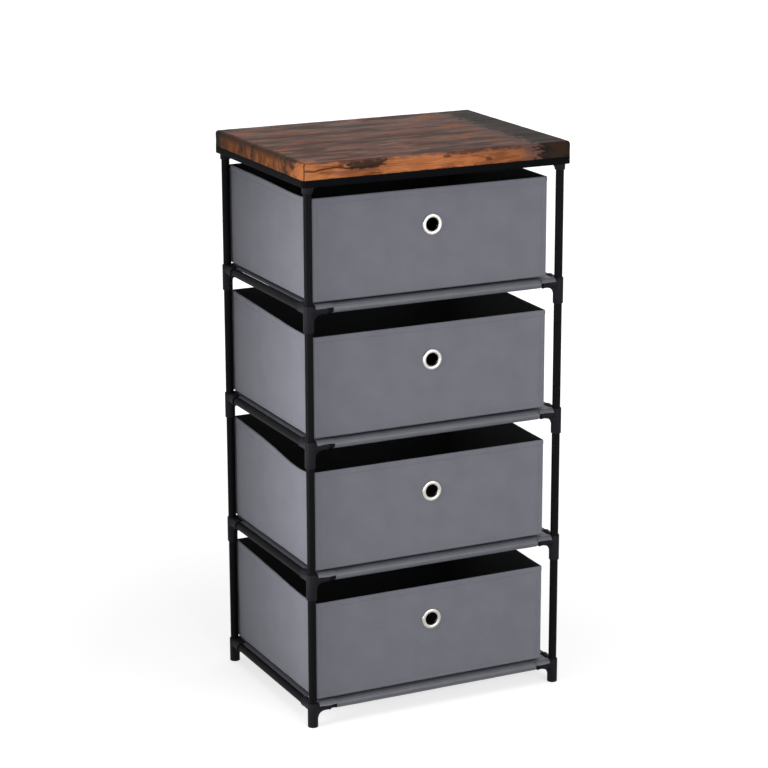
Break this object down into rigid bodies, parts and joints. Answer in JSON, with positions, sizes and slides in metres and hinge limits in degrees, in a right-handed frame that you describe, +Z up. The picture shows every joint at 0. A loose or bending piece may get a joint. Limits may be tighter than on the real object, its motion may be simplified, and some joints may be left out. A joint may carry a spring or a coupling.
{
  "type": "fabric drawer dresser",
  "caption": "Narrow chest of fabric drawers in a black tube frame with moulded corner connectors and a thick wood-look top.",
  "frame": {"origin": "middle of the footprint, on the floor under the feet", "axes": "+Z up, -Y out of the front of the drawers, +X to the right seen from the front"},
  "size_m": [0.457, 0.343, 0.9],
  "materials": {
    "tube": "satin black powder coat",
    "connector": "moulded, fine satin",
    "cloth": "grey non-woven",
    "bin": "grey non-woven outside, black inside",
    "base_board": "black non-woven over board",
    "grommet": "pale nickel",
    "board": "rustic brown wood-look film, satin",
    "band": "black-brown edge strip"
  },
  "bodies": {
    "frame": {"upright_front_left_1": "tube", "upright_front_left_2": "tube", "upright_front_left_3": "tube", "upright_front_left_4": "tube", "upright_front_right_1": "tube", "upright_front_right_2": "tube", "upright_front_right_3": "tube", "upright_front_right_4": "tube", "upright_back_right_1": "tube", "upright_back_right_2": "tube", "upright_back_right_3": "tube", "upright_back_right_4": "tube", "upright_back_left_1": "tube", "upright_back_left_2": "tube", "upright_back_left_3": "tube", "upright_back_left_4": "tube", "front_rail_level_1": "tube", "back_rail_level_1": "tube", "left_rail_level_1": "tube", "right_rail_level_1": "tube", "front_rail_level_2": "tube", "back_rail_level_2": "tube", "left_rail_level_2": "tube", "right_rail_level_2": "tube", "front_rail_level_3": "tube", "back_rail_level_3": "tube", "left_rail_level_3": "tube", "right_rail_level_3": "tube", "front_rail_level_4": "tube", "back_rail_level_4": "tube", "left_rail_level_4": "tube", "right_rail_level_4": "tube", "front_rail_level_5": "tube", "back_rail_level_5": "tube", "left_rail_level_5": "tube", "right_rail_level_5": "tube", "foot_connectors": "connector", "corner_connectors_level_2": "connector", "corner_connectors_level_3": "connector", "corner_connectors_level_4": "connector", "top_connectors": "connector", "shelf_cloth_level_1": "cloth", "shelf_cloth_level_2": "cloth", "shelf_cloth_level_3": "cloth", "shelf_cloth_level_4": "cloth", "top_board": "board", "edge_band": "band"},
    "drawer_1": {"drawer_1_bin": "bin", "drawer_1_base_board": "base_board", "drawer_1_grommet": "grommet"},
    "drawer_2": {"drawer_2_bin": "bin", "drawer_2_base_board": "base_board", "drawer_2_grommet": "grommet"},
    "drawer_3": {"drawer_3_bin": "bin", "drawer_3_base_board": "base_board", "drawer_3_grommet": "grommet"},
    "drawer_4": {"drawer_4_bin": "bin", "drawer_4_base_board": "base_board", "drawer_4_grommet": "grommet"}
  },
  "joints": [
    {"name": "drawer_1_slide", "type": "slide", "parent": "frame", "child": "drawer_1", "axis": [0, -1, 0], "range_m": [0, 0.25]},
    {"name": "drawer_2_slide", "type": "slide", "parent": "frame", "child": "drawer_2", "axis": [0, -1, 0], "range_m": [0, 0.25]},
    {"name": "drawer_3_slide", "type": "slide", "parent": "frame", "child": "drawer_3", "axis": [0, -1, 0], "range_m": [0, 0.25]},
    {"name": "drawer_4_slide", "type": "slide", "parent": "frame", "child": "drawer_4", "axis": [0, -1, 0], "range_m": [0, 0.25]}
  ]
}
